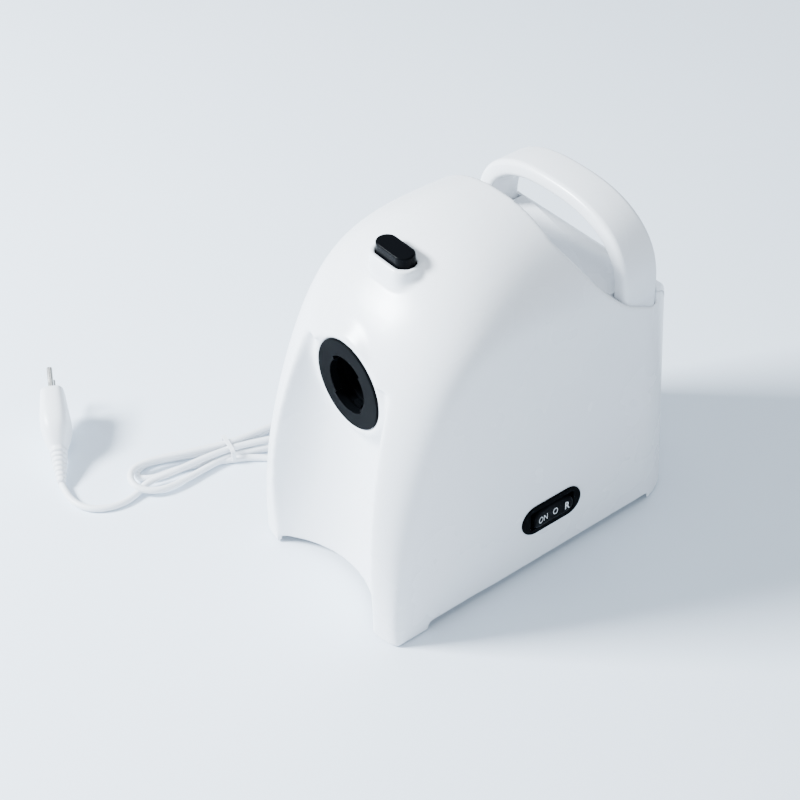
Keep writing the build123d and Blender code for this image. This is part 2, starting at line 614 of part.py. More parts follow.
def make_latch():
    """Slide that hangs from the button: a frame round the drive shaft and the locking tip below it."""
    stem = block(-5, 5, BUTTON_Y - 2, BUTTON_Y + 2, AXIS_Z + 28, stem_top())
    foot = block(-5, 5, LATCH_Y, BUTTON_Y + 2, AXIS_Z + 28, AXIS_Z + 32)
    frame = extrude(Plane.XZ.offset(-LATCH_Y) * Pos(0, AXIS_Z) * Circle(31.5), -3)
    frame -= cylinder_y(24.5, LATCH_Y - 1, LATCH_Y + 4, 0, AXIS_Z)
    finger = block(-4, 4, TIP_Y0, LATCH_Y + 3, AXIS_Z - 30.4, AXIS_Z - 26.9)
    tip = block(-4, 4, TIP_Y0, TIP_Y1, AXIS_Z - 28, AXIS_Z - 20.4)
    return stem + foot + frame + finger + tip


def make_spring_seat():
    """Bracket on the gear case that the button's spring stands on."""
    seat = block(-20, 20, BUTTON_Y - 9, -50, SEAT_Z - 3, SEAT_Z)
    for side in (-1, 1):
        seat += block(side * 12, side * 20, GEARBOX_Y0, -50, GEARBOX_Z1, SEAT_Z - 3)
    return seat - block(-6, 6, BUTTON_Y - 3, BUTTON_Y + 3, SEAT_Z - 5, SEAT_Z + 1)


def make_latch_spring():
    """Return spring of the button, drawn as its sleeve round the slide's stem."""
    sleeve = cylinder_z(8.2, SEAT_Z, stem_top(), 0, BUTTON_Y)
    return sleeve - cylinder_z(6.6, SEAT_Z - 1, stem_top() + 1, 0, BUTTON_Y)


def rocker_pin(radius, half):
    """The rocker turns on this cross pin."""
    return cylinder_z(radius, SWITCH_Z - half, SWITCH_Z + half, HALF_WIDTH - 5, SWITCH_Y)


def make_switch_bezel():
    """Black surround of the rocker, clipped into the side wall."""
    flange = extrude(switch_plane() * SlotOverall(SWITCH_L, SWITCH_W), 1.5)
    flange = fillet(flange.edges().group_by(Axis.X)[-1], 0.8)
    bezel = flange + extrude(switch_plane(-24) * RectangleRounded(SWITCH_L - 8, SWITCH_W - 8, 8), 24)
    bezel -= extrude(switch_plane(-15) * RectangleRounded(ROCKER_L + 1.2, ROCKER_W + 1.0, 1.5), 30)
    return bezel - rocker_pin(1.55, ROCKER_W / 2 + 2)


def make_rocker():
    """Three-position rocker: a block hollowed in the middle of its face, on a cross pin."""
    end, side = ROCKER_L / 2 - 1.6, ROCKER_W / 2
    sketch = Plane(origin=(HALF_WIDTH, SWITCH_Y, SWITCH_Z - side), x_dir=(0, 1, 0), z_dir=(0, 0, 1))
    outline = (Polyline((-end, -ROCKER_END_H), (1.2 - end, 6), (end - 1.2, 6), (end, -ROCKER_END_H))
               + ThreePointArc((end, -ROCKER_END_H), (0, -ROCKER_MID_H), (-end, -ROCKER_END_H)))
    rocker = extrude(sketch * make_face(outline), ROCKER_W)
    return rocker + rocker_pin(1.5, side + 1.8)


def make_circuit_board():
    board = block(50, 51.6, -30, 30, PLATE_Z + WALL, 62)
    for y in (-20, -4, 14):
        board += block(44, 50, y - 5, y + 5, 30, 44)
    return board


def make_terminal_block():
    return fillet(block(-62, -38, 88, 104, PLATE_Z + WALL, PLATE_Z + WALL + 14).edges().filter_by(Axis.Z), 2)


# ================================================================ cord
def tube_path(points):
    """Straight runs joined by arcs, each as large as its two runs allow."""
    points = [Vector(*p) for p in points]
    radii = []
    for before, here, after in zip(points, points[1:], points[2:]):
        turn = radians((here - before).get_angle(after - here))
        radii.append(0.45 * min((here - before).length, (after - here).length) / tan(turn / 2))
    print("cord radii", [round(r) for r in radii])
    return FilletPolyline(*points, radius=radii)


def make_tube(points, diameter):
    path = tube_path(points)
    start = Plane(origin=points[0], z_dir=Vector(*points[1]) - Vector(*points[0]))
    tube = sweep(start * Circle(diameter / 2), path=path)
    length = sum(e.length for e in path.edges())
    print("cord length", round(length))
    print("volume ratio", round(tube.volume / (pi * diameter ** 2 / 4 * length), 4))
    return tube


def make_gland():
    """Strain relief that holds the cord in the back wall."""
    x, y, z = EXIT
    wall_y = REAR_Y - REAR_LEAN * z
    gland = cylinder_y(5.9, wall_y - 8, wall_y + 0.5, x, z) + cylinder_y(8, wall_y + 0.5, wall_y + 3, x, z)
    cone = loft([Plane.XZ.offset(-(wall_y + 3)) * Pos(x, z) * Circle(5.2),
                 Plane.XZ.offset(-(EXIT_END)) * Pos(x, z) * Circle(3.4)])
    return gland + cone


def make_hank():
    """The tied hank as one closed solid of its outer shape, waisted where the tie holds it."""
    near, far, waist = HANK_NEAR, HANK_FAR, HANK_TIE
    along = Vector(far[0] - near[0], far[1] - near[1], 0)
    length = along.length
    direction = along.normalized()
    across = Vector(-direction.Y, direction.X, 0)
    tie_at = (Vector(waist[0] - near[0], waist[1] - near[1], 0)).dot(direction)

    def place(s, t):
        p = Vector(near[0], near[1], 0) + direction * s + across * t
        return (p.X, p.Y)

    left = [(0, 0), (8, 19), (30, 20), (tie_at, 9), (length - 30, 18), (length - 6, 16)]
    right = [(length, 0), (length - 6, -16), (length - 30, -18), (tie_at, -9), (30, -20), (8, -19)]
    outline = Spline(*[place(s, t) for s, t in left + right], periodic=True)
    return Pos(0, 0, HANK_Z) * extrude(make_face(outline), HANK_H)


def make_tie():
    """Twist tie round the hank's waist."""
    direction = Vector(HANK_FAR[0] - HANK_NEAR[0], HANK_FAR[1] - HANK_NEAR[1], 0)
    frame = Plane(origin=(HANK_TIE[0], HANK_TIE[1], HANK_H / 2 + HANK_Z), x_dir=(0, 0, 1), z_dir=direction)
    band = RectangleRounded(HANK_H + 3, 25, 4) - RectangleRounded(HANK_H + 0.1, 22, 3)
    return extrude(frame * band, 1.6, both=True)


def plug_frame(distance):
    """A section plane of the plug; its local Y stands up."""
    origin = Vector(*PLUG_BACK) + PLUG_AXIS * distance
    flat = Vector(0, 0, 1).cross(PLUG_AXIS).normalized()
    return Plane(origin=origin, x_dir=flat, z_dir=PLUG_AXIS)


def make_plug():
    """Moulded two-pin plug body with its strain relief."""
    sections = []
    for distance, width, height in PLUG_SECTIONS:
        sections.append(plug_frame(distance) * RectangleRounded(width, height, width / 2.3))
    return loft(sections)


def make_pins():
    pins = []
    for side in (-1, 1):
        pin = extrude(plug_frame(PLUG_L) * Pos(0, side * PIN_GAP / 2) * Circle(PIN_R), PIN_L)
        pins.append(pin)
    return pins


# ================================================================ the model
def main():
    nodes = {
        "housing": make_housing(),
        "rear_cover": make_rear_cover(),
        "carry_handle": make_handle(),
        "bottom_cover": make_base_plate(),
        "rubber_feet": make_feet(),
        "foot_screws": make_foot_screws(),
        "vent_panel": make_vent_panel(),
        "socket_collar": make_socket_collar(),
        "drive_socket": make_drive_socket(),
        "output_gear": gear(STAGE2, "wheel", AXIS_Z, OUT_R, 90 + 180 / STAGE2["wheel"]),
        "output_bush": cylinder_y(BUSH_R, GEARBOX_Y0 - 4, GEARBOX_Y0 + 5, 0, AXIS_Z)
                       - cylinder_y(OUT_R + RUN, -100, 0, 0, AXIS_Z),
        "layshaft_pinion": gear(STAGE2, "pinion", MID_Z, 0, -90, 1.0)
                           + cylinder_y(SHAFT_R, GEARBOX_Y0 + 1.5, GEARBOX_Y1 + 4, 0, MID_Z),
        "layshaft_gear": gear(STAGE1, "wheel", MID_Z, SHAFT_R, 90 + 180 / STAGE1["wheel"]),
        "motor_pinion": gear(STAGE1, "pinion", MOTOR_Z, 0, -90, 1.0),
        "gearbox_housing": make_gearbox_housing(),
        "gearbox_cover": make_gearbox_cover(),
        "gearbox_screws": make_gearbox_screws(),
        "gearbox_post": make_gearbox_leg(),
        "motor_shaft": motor_cyl(SHAFT_R, STAGE1["y"] + STAGE1["width"] / 2 + 0.5, 98),
        "cooling_fan": make_fan(),
        "armature_core": make_armature(),
        "armature_windings": make_windings(),
        "commutator": make_commutator(),
        "stator_core": make_stator(),
        "field_coils": make_field_coils(),
        "motor_bearings": make_bearings(),
        "front_bracket": make_bracket(BEARINGS[0], 9, STATOR_Y0),
        "rear_bracket": make_bracket(BEARINGS[1], STATOR_Y1, 90),
        "brush_yoke": make_brush_yoke(),
        "brush_holders": make_brush_holders(),
        "carbon_brushes": make_brushes(),
        "motor_cradle": make_motor_cradle(),
        "release_button": make_button(),
        "latch_slide": make_latch(),
        "latch_spring": make_latch_spring(),
        "spring_seat": make_spring_seat(),
        "switch_bezel": make_switch_bezel(),
        "switch_rocker": make_rocker(),
        "circuit_board": make_circuit_board(),
        "terminal_block": make_terminal_block(),
        "cord_gland": make_gland(),
        "cord_lead": make_tube([(EXIT[0], EXIT_END, EXIT[2])] + LEAD, CORD_D),
        "cord_hank": make_hank(),
        "hank_tie": make_tie(),
        "cord_tail": make_tube(TAIL + [PLUG_BACK], CORD_D),
        "plug_body": make_plug(),
        "plug_pins": make_pins(),
    }
    for node, shape in nodes.items():
        write(node, shape)


main()
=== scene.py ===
import bpy
import math
import numpy as np
from mathutils import Matrix, Vector


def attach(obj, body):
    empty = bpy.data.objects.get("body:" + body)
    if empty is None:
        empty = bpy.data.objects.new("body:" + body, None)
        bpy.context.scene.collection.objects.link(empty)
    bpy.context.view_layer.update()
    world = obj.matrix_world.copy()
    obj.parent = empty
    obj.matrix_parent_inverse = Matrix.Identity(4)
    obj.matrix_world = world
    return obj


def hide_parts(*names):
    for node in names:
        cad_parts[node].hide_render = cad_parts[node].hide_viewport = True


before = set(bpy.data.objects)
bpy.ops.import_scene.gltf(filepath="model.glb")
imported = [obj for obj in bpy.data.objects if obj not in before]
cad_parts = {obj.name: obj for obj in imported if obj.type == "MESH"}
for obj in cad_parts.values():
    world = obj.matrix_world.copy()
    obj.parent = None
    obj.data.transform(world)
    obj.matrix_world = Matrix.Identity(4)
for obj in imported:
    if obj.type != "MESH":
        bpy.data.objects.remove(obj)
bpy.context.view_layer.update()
MM = 0.001


def mm(*xyz):
    """A point given in millimetres, in metres."""
    return Vector(xyz) * MM


# ---------------------------------------------------------------- camera
CAMERA_AZIMUTH, CAMERA_ELEVATION, CAMERA_ROLL = 54.03, 39.96, -2.33
CAMERA_TARGET = mm(-0.97, -66.1, 138.5)
CAMERA_DISTANCE = 1.2001
CAMERA_LENS, CAMERA_SENSOR = 76.5, 36.0


def make_camera():
    """The camera, looking at the front and the switch side from above."""
    azimuth = math.radians(CAMERA_AZIMUTH)
    elevation = math.radians(CAMERA_ELEVATION)
    roll = math.radians(CAMERA_ROLL)
    back = Vector((math.sin(azimuth) * math.cos(elevation),
                   -math.cos(azimuth) * math.cos(elevation),
                   math.sin(elevation)))
    side = Vector((math.cos(azimuth), math.sin(azimuth), 0))
    rise = back.cross(side)
    right = side * math.cos(roll) + rise * math.sin(roll)
    up = rise * math.cos(roll) - side * math.sin(roll)
    data = bpy.data.cameras.new("camera")
    data.lens = CAMERA_LENS
    data.sensor_width = CAMERA_SENSOR
    data.clip_end = 20.0
    camera = bpy.data.objects.new("camera", data)
    bpy.context.scene.collection.objects.link(camera)
    turn = Matrix((right, up, back)).transposed().to_4x4()
    camera.matrix_world = Matrix.Translation(CAMERA_TARGET + back * CAMERA_DISTANCE) @ turn
    bpy.context.scene.camera = camera


make_camera()


# ---------------------------------------------------------------- materials
BUMP_DEPTH = 0.0002
PLASTIC_IOR = 1.5
COAT_ROUGHNESS = 0.12


def new_material(name):
    """A new material, its node tree, its Principled shader and its object coordinates."""
    material = bpy.data.materials.new(name)
    material.use_nodes = True
    tree = material.node_tree
    shader = tree.nodes["Principled BSDF"]
    coords = tree.nodes.new("ShaderNodeTexCoord")
    return material, tree, shader, coords.outputs["Object"]


def add_noise(tree, vector, scale, detail=3.0, roughness=0.55):
    """Noise between 0 and 1; a larger scale is finer."""
    noise = tree.nodes.new("ShaderNodeTexNoise")
    noise.inputs["Scale"].default_value = scale
    noise.inputs["Detail"].default_value = detail
    noise.inputs["Roughness"].default_value = roughness
    tree.links.new(vector, noise.inputs["Vector"])
    return noise.outputs["Fac"]


def add_range(tree, value, low, high, from_low=0.3, from_high=0.7):
    """Spreads the middle of a noise over low to high."""
    mapping = tree.nodes.new("ShaderNodeMapRange")
    mapping.inputs["From Min"].default_value = from_low
    mapping.inputs["From Max"].default_value = from_high
    mapping.inputs["To Min"].default_value = low
    mapping.inputs["To Max"].default_value = high
    tree.links.new(value, mapping.inputs["Value"])
    return mapping.outputs["Result"]


def add_mix(tree, factor, first, second):
    """A colour between two, by a factor."""
    mix = tree.nodes.new("ShaderNodeMix")
    mix.data_type = "RGBA"
    mix.inputs["A"].default_value = (*first, 1)
    mix.inputs["B"].default_value = (*second, 1)
    tree.links.new(factor, mix.inputs["Factor"])
    return mix.outputs["Result"]


def add_bump(tree, shader, height, strength, distance):
    """Small relief on a shader; distance is its depth in metres."""
    bump = tree.nodes.new("ShaderNodeBump")
    bump.inputs["Strength"].default_value = strength
    bump.inputs["Distance"].default_value = distance
    tree.links.new(height, bump.inputs["Height"])
    tree.links.new(bump.outputs["Normal"], shader.inputs["Normal"])


def plastic(name, color, other, rough, grain=900.0, bump=0.10, coat=0.0, patch=14.0, specular=0.5):
    """A moulding: two close tints, uneven gloss and a fine grain."""
    material, tree, shader, coords = new_material(name)
    broad = add_noise(tree, coords, patch)
    fine = add_noise(tree, coords, grain, 2.0)
    tint = add_mix(tree, add_range(tree, broad, 0, 1), color, other)
    tree.links.new(tint, shader.inputs["Base Color"])
    tree.links.new(add_range(tree, broad, rough * 0.88, rough * 1.12), shader.inputs["Roughness"])
    add_bump(tree, shader, fine, bump, BUMP_DEPTH)
    shader.inputs["IOR"].default_value = PLASTIC_IOR
    shader.inputs["Coat Weight"].default_value = coat
    shader.inputs["Coat Roughness"].default_value = COAT_ROUGHNESS
    shader.inputs["Specular IOR Level"].default_value = specular
    return material


def metal(name, color, other, rough, stretch=(1, 1, 1), scale=240.0, bump=0.15):
    """A metal with brush marks, drawn out along the axis whose stretch is smallest."""
    material, tree, shader, coords = new_material(name)
    mapping = tree.nodes.new("ShaderNodeMapping")
    mapping.inputs["Scale"].default_value = stretch
    tree.links.new(coords, mapping.inputs["Vector"])
    marks = add_noise(tree, mapping.outputs["Vector"], scale, 4.0)
    broad = add_noise(tree, coords, 40.0)
    tint = add_mix(tree, add_range(tree, broad, 0, 1), color, other)
    tree.links.new(tint, shader.inputs["Base Color"])
    tree.links.new(add_range(tree, marks, rough * 0.75, rough * 1.3), shader.inputs["Roughness"])
    add_bump(tree, shader, marks, bump, BUMP_DEPTH)
    shader.inputs["Metallic"].default_value = 1.0
    return material


WHITE = plastic("white_abs", (0.83, 0.85, 0.885), (0.85, 0.87, 0.90), 0.27, grain=1400, bump=0.04)
GREY = plastic("grey_nylon", (0.30, 0.31, 0.33), (0.36, 0.37, 0.39), 0.55)
RUBBER = plastic("pad_rubber", (0.018, 0.018, 0.019), (0.03, 0.03, 0.031), 0.8, bump=0.3)
BLACK = plastic("black_abs", (0.0012, 0.0015, 0.002), (0.002, 0.0024, 0.003), 0.40,
                grain=1600, bump=0.08, specular=0.012)
GLOSS_BLACK = plastic("gloss_black", (0.001, 0.0013, 0.002), (0.002, 0.0023, 0.003), 0.26,
                      grain=500, bump=0.02, specular=0.03)
CORD_WHITE = plastic("cord_pvc", (0.76, 0.78, 0.81), (0.80, 0.82, 0.85), 0.42, grain=1100, bump=0.12)
LEGEND = plastic("legend_white", (0.72, 0.73, 0.74), (0.80, 0.81, 0.82), 0.5, grain=2500, bump=0.1)
PHENOLIC = plastic("phenolic", (0.16, 0.07, 0.03), (0.22, 0.10, 0.05), 0.5)
BOARD = plastic("solder_resist", (0.02, 0.14, 0.06), (0.03, 0.18, 0.08), 0.35, patch=60)
NYLON = plastic("nylon", (0.70, 0.66, 0.55), (0.76, 0.72, 0.62), 0.45)
CARBON = plastic("carbon", (0.02, 0.02, 0.021), (0.035, 0.035, 0.036), 0.6)
STEEL = metal("ground_steel", (0.56, 0.57, 0.59), (0.62, 0.63, 0.65), 0.28, (1, 0.05, 1))
ZINC = metal("zinc", (0.60, 0.61, 0.64), (0.68, 0.69, 0.71), 0.35)
LAMINATION = metal("lamination", (0.20, 0.20, 0.21), (0.30, 0.30, 0.31), 0.5, (0.02, 1, 0.02), 900, 0.5)
COPPER = metal("enamelled_wire", (0.55, 0.20, 0.08), (0.66, 0.28, 0.12), 0.35, (0.05, 1, 1), 700, 0.6)
ALLOY = metal("cast_alloy", (0.55, 0.56, 0.57), (0.62, 0.63, 0.64), 0.5, scale=500, bump=0.3)
BRASS = metal("sheet_brass", (0.68, 0.48, 0.18), (0.74, 0.55, 0.24), 0.3)
BRONZE = metal("sintered_bronze", (0.48, 0.28, 0.12), (0.56, 0.34, 0.16), 0.5, scale=900, bump=0.4)
NICKEL = metal("nickel_plate", (0.66, 0.65, 0.62), (0.72, 0.71, 0.68), 0.2, (1, 1, 0.1))

MATERIAL_NODES = [
    (WHITE, ["rear_cover", "carry_handle", "vent_panel", "housing"]),
    (GREY, ["bottom_cover", "gearbox_housing", "gearbox_cover", "gearbox_post", "motor_cradle",
            "terminal_block"]),
    (RUBBER, ["rubber_feet"]),
    (BLACK, ["socket_collar", "switch_bezel", "latch_slide", "cooling_fan"]),
    (GLOSS_BLACK, ["release_button", "switch_rocker"]),
    (ZINC, ["foot_screws", "gearbox_screws", "motor_bearings", "spring_seat", "latch_spring"]),
    (STEEL, ["motor_shaft", "motor_pinion", "layshaft_pinion", "drive_socket", "output_gear"]),
    (NYLON, ["layshaft_gear"]),
    (BRONZE, ["output_bush"]),
    (LAMINATION, ["stator_core", "armature_core"]),
    (COPPER, ["field_coils", "armature_windings", "commutator"]),
    (ALLOY, ["front_bracket", "rear_bracket"]),
    (PHENOLIC, ["brush_yoke"]),
    (BRASS, ["brush_holders"]),
    (CARBON, ["carbon_brushes"]),
    (BOARD, ["circuit_board"]),
    (CORD_WHITE, ["cord_gland", "hank_tie", "cord_lead", "cord_hank", "cord_tail", "plug_body"]),
    (NICKEL, ["plug_pins"]),
]
NODE_MATERIALS = {name: material for material, names in MATERIAL_NODES for name in names}
for node_name, node_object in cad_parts.items():
    node_object.data.materials.clear()
    node_object.data.materials.append(NODE_MATERIALS[node_name])


# ---------------------------------------------------------------- mesh helpers
def link_mesh(name, verts, faces, material, smooth=True):
    """A mesh object in the scene."""
    mesh = bpy.data.meshes.new(name)
    mesh.from_pydata([tuple(v) for v in verts], [], faces)
    mesh.materials.append(material)
    mesh.polygons.foreach_set("use_smooth", [smooth] * len(mesh.polygons))
    thing = bpy.data.objects.new(name, mesh)
    bpy.context.scene.collection.objects.link(thing)
    return thing


def bulge(value, exponent):
    """A sine or cosine raised to an exponent, its sign kept: the curve of a squared circle."""
    return math.copysign(abs(value) ** exponent, value)


def skin(name, rings, material):
    """A closed surface through rings of equally many points."""
    count = len(rings[0])
    verts = [point for ring in rings for point in ring]
    faces = []
    for ring in range(len(rings) - 1):
        for k in range(count):
            a, b = ring * count + k, ring * count + (k + 1) % count
            faces.append((a, b, b + count, a + count))
    faces.append(tuple(reversed(range(count))))
    faces.append(tuple(range(len(verts) - count, len(verts))))
    return link_mesh(name, verts, faces, material)


def settle(mesh, weights, rounds):
    """Moves each vertex towards its neighbours' mean by its weight, that many times."""
    co = np.empty(len(mesh.vertices) * 3)
    mesh.vertices.foreach_get("co", co)
    co = co.reshape(-1, 3)
    edges = np.empty(len(mesh.edges) * 2, int)
    mesh.edges.foreach_get("vertices", edges)
    one, two = edges.reshape(-1, 2).T
    degree = np.bincount(np.r_[one, two], minlength=len(co))[:, None]
    for _ in range(rounds):
        total = np.empty_like(co)
        for axis in range(3):
            total[:, axis] = np.bincount(np.r_[one, two], np.r_[co[two, axis], co[one, axis]], len(co))
        co += weights[:, None] * (total / degree - co)
    mesh.vertices.foreach_set("co", co.ravel())
    mesh.update()


# ---------------------------------------------------------------- mains cord
CORD_D = 5.5
EXIT = (-50.0, 172.0, 22.0)
LEAD = [EXIT, (-50, 190, 20), (-53, 208, 8), (-70, 226, 2.95), (-97, 222, 2.95), (-116, 200, 2.95),
        (-121, 165, 2.95), (-117, 120, 2.95), (-113, 72, 2.95), (-111, 22, 2.95), (-108, -24, 2.95),
        (-112, -60, 2.95), (-131, -88, 2.95), (-150, -103, 3.0)]
# The hank's strands as (distance from its near end, distance to the left of its middle line, height).
HANK = [(66, -6, 3), (52, -2, 3), (36, 0, 3), (24, -1, 3), (14, -1, 3), (5, 3, 3), (3, 9, 3),
        (7, 15, 3), (16, 18, 3), (30, 16, 3), (50, 11, 3.1), (66, 7, 3.9), (80, 6, 4.6),
        (95, 7, 3.9), (115, 10, 3.1), (136, 13, 3), (150, 12, 3), (157, 7, 3), (159, 0, 3),
        (157, -8, 3), (150, -13, 3), (136, -14, 3), (115, -11, 3.1), (95, -8, 3.9), (80, -6, 4.6),
        (64, -8, 4.2), (46, -13, 4), (28, -18, 4.5), (14, -19, 5), (3, -15, 6), (-3, -8, 7.5),
        (-4, 1, 8.5), (0, 9, 9), (9, 13, 9), (22, 13, 9), (40, 10, 8.8), (60, 6.5, 9.3),
        (80, 3.4, 9.6), (100, 5, 9.2), (120, 8, 8.6), (138, 9, 8.6), (149, 6, 8.6), (153, 0, 8.6),
        (149, -7, 8.6), (138, -10, 8.6), (120, -8, 8.6), (100, -5, 9.2), (80, -3.2, 9.6),
        (60, -4, 9.3), (42, -6, 8.8), (26, -8, 8.8)]
HANK_NEAR, HANK_FAR = Vector((-184.0, -194.0, 0)), Vector((-151.0, -38.0, 0))
TAIL = [(-176, -188, 6.5), (-172, -200, 3.2), (-170, -213, 2.95), (-173, -226, 2.95),
        (-181, -237, 2.95), (-193, -243, 2.95), (-207, -243.5, 3.4), (-219, -241, 4.6)]
PLUG_BACK = Vector((-219.0, -241.0, 4.6))
PLUG_AXIS = Vector((-0.849, 0.426, 0.313)).normalized()
# Strain relief: ribs that grow from the cord to the plug's body.
RIB_COUNT, RIB_START, RIB_PITCH, RIB_POWER = 7, 1.5, 4.2, 2.2
RIB_SIZE, RIB_GROWTH = (7.4, 8.2), (7.0, 9.0)
RIB_PROFILE = [(0, 0.86), (0.4, 1.0), (2.4, 1.0), (2.8, 0.86)]
# Sections of the plug from its back: distance, thickness, width and the power of the outline.
PLUG_TIP = (0, 5.8, 6.4, 2.0)
PLUG_SECTIONS = [(32, 15.0, 19, 2.3), (38, 19.0, 26, 2.4), (44, 22.5, 32, 2.5), (49, 24.2, 34.5, 2.7),
                 (54, 24.6, 35, 2.8), (60, 24.2, 34.5, 2.9), (68, 22.6, 32, 3.0), (76, 21.0, 29.6, 3.2),
                 (82, 19.9, 28, 3.4), (84.3, 19.0, 27, 3.4), (85, 17.6, 25.4, 3.4)]


def hank_points():
    """The hank's strands in millimetres."""
    along = (HANK_FAR - HANK_NEAR).normalized()
    left = Vector((-along.y, along.x, 0))
    return [HANK_NEAR + along * s + left * t + Vector((0, 0, z)) for s, t, z in HANK]


def curve_length(curve_object):
    """Length of a curve's centreline, measured on its evaluated line."""
    twin = curve_object.copy()
    twin.data = curve_object.data.copy()
    twin.data.bevel_depth = 0
    bpy.context.scene.collection.objects.link(twin)
    line = twin.evaluated_get(bpy.context.evaluated_depsgraph_get()).to_mesh()
    points = [v.co.copy() for v in line.vertices]
    bpy.data.objects.remove(twin)
    return sum((b - a).length for a, b in zip(points, points[1:]))


def make_cord():
    """The whole mains lead as one curve: lead, tied hank and tail."""
    points = [mm(*p) for p in LEAD] + [p * MM for p in hank_points()] + [mm(*p) for p in TAIL]
    data = bpy.data.curves.new("mains_cord", "CURVE")
    data.dimensions = "3D"
    data.bevel_depth = CORD_D / 2 * MM
    data.bevel_resolution = 5
    data.resolution_u = 10
    spline = data.splines.new("NURBS")
    spline.points.add(len(points) - 1)
    for target, point in zip(spline.points, points):
        target.co = (*point, 1)
    spline.order_u = 3
    spline.use_endpoint_u = True
    data.materials.append(CORD_WHITE)
    cord = bpy.data.objects.new("mains_cord", data)
    bpy.context.scene.collection.objects.link(cord)
    return cord


def plug_ring(distance, width, height, power, count=40):
    """A section of the plug; height is along its wide side, which stands nearly upright."""
    flat = Vector((0, 0, 1)).cross(PLUG_AXIS).normalized()
    up = PLUG_AXIS.cross(flat)
    ring = []
    for k in range(count):
        a = 2 * math.pi * k / count
        x = bulge(math.cos(a), 2 / power) * width / 2
        y = bulge(math.sin(a), 2 / power) * height / 2
        ring.append((PLUG_BACK + PLUG_AXIS * distance + flat * x + up * y) * MM)
    return ring


def make_plug():
    """Moulded two-pin plug with a ribbed strain relief."""
    rings = [plug_ring(*PLUG_TIP)]
    for rib in range(RIB_COUNT):
        start, grow = RIB_START + rib * RIB_PITCH, rib / (RIB_COUNT - 1)
        width, height = (base + growth * grow for base, growth in zip(RIB_SIZE, RIB_GROWTH))
        for offset, scale in RIB_PROFILE:
            rings.append(plug_ring(start + offset, width * scale, height * scale, RIB_POWER))
    rings += [plug_ring(*section) for section in PLUG_SECTIONS]
    plug = skin("plug_moulding", rings, CORD_WHITE)
    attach(plug, "machine_body")
    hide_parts("plug_body")
    return plug


cord = make_cord()
plug = make_plug()
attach(cord, "machine_body")
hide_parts("cord_lead", "cord_hank", "cord_tail")
CORD_LENGTH = curve_length(cord)
print("cord length %.3f m" % CORD_LENGTH)


# ---------------------------------------------------------------- housing skin
RING_AXIS_Z = 176.5
RING_SEAT_R = (36.5, 44)
RING_EDGE_R = (35.5, 37)
FAIRING_Y = (-70, -45)
FAIRING_FOOT_Z, FAIRING_TOP_Z = (3, 14), (205, 235)
BUTTON_Y, BUTTON_STRETCH, BUTTON_HALF_SLOT = -65.5, 1.5, 9.5
BUTTON_OUTER_R, BUTTON_INNER_R, BUTTON_MIN_Z = (17, 25), (10, 13), 200
FRONT_END_Y, BEHIND_FRONT = -95, 40
PULL = 0.5
FAIRING_ROUNDS, BUTTON_ROUNDS, ALL_ROUNDS = 26, 12, 3
REMESH = 1.4 * MM


def remesh_copy(node, name, size):
    """An even-meshed copy of a CAD node."""
    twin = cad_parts[node].copy()
    twin.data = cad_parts[node].data.copy()
    bpy.context.scene.collection.objects.link(twin)
    twin.parent = None
    twin.matrix_world = Matrix.Identity(4)
    for key in list(twin.keys()):
        del twin[key]
    grid = twin.modifiers.new("grid", "REMESH")
    grid.mode = "VOXEL"
    grid.voxel_size = size
    grid.use_smooth_shade = True
    bpy.context.view_layer.update()
    mesh = bpy.data.meshes.new_from_object(twin.evaluated_get(bpy.context.evaluated_depsgraph_get()))
    bpy.data.objects.remove(twin)
    mesh.name = name
    thing = bpy.data.objects.new(name, mesh)
    bpy.context.scene.collection.objects.link(thing)
    mesh.polygons.foreach_set("use_smooth", [True] * len(mesh.polygons))
    return thing


def ramp(value, low, high):
    """0 below low, 1 above high, smooth between."""
    t = np.clip((value - low) / (high - low), 0, 1)
    return t * t * (3 - 2 * t)


def make_housing_skin():
    """The housing with its edges softened: most at the fairing, some round the button's boss."""
    thing = remesh_copy("housing", "housing_skin", REMESH)
    mesh = thing.data
    co = np.empty(len(mesh.vertices) * 3)
    mesh.vertices.foreach_get("co", co)
    x, y, z = co.reshape(-1, 3).T / MM
    from_axis = np.hypot(x, z - RING_AXIS_Z)
    front = 1 - ramp(y, *FAIRING_Y)
    fairing = front * ramp(z, *FAIRING_FOOT_Z) * (1 - ramp(z, *FAIRING_TOP_Z))
    settle(mesh, PULL * fairing * ramp(from_axis, *RING_SEAT_R), FAIRING_ROUNDS)
    boss = 1 - ramp(np.hypot(x / BUTTON_STRETCH, y - BUTTON_Y), *BUTTON_OUTER_R)
    from_slot = np.hypot(np.maximum(abs(x) - BUTTON_HALF_SLOT, 0), y - BUTTON_Y)
    settle(mesh, PULL * boss * ramp(from_slot, *BUTTON_INNER_R) * (z > BUTTON_MIN_Z), BUTTON_ROUNDS)
    off_ring = ramp(from_axis + BEHIND_FRONT * (y > FRONT_END_Y), *RING_EDGE_R)
    settle(mesh, np.full(len(x), PULL) * off_ring, ALL_ROUNDS)
    mesh.materials.clear()
    mesh.materials.append(WHITE)
    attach(thing, "machine_body")
    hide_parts("housing")
    print("housing skin", len(mesh.vertices), "vertices")


make_housing_skin()


# ---------------------------------------------------------------- handle
HANDLE_Y0, HANDLE_Y1, HANDLE_BASE_Z, HANDLE_FOOT_Z = 68.7, 100.4, 207.9, 186.0
HANDLE_OUTER, HANDLE_INNER, HANDLE_POWER = (80.4, 59.2), (67.4, 46.8), 2.44
HANDLE_ROUND = 4.2
HANDLE_STEPS, CORNER_STEPS = 72, 6


def arch_point(size, angle):
    """A point of the handle's outline in X and Z."""
    half, rise = size
    return Vector((bulge(math.cos(angle), 2 / HANDLE_POWER) * half, 0,
                   HANDLE_BASE_Z + abs(math.sin(angle)) ** (2 / HANDLE_POWER) * rise))


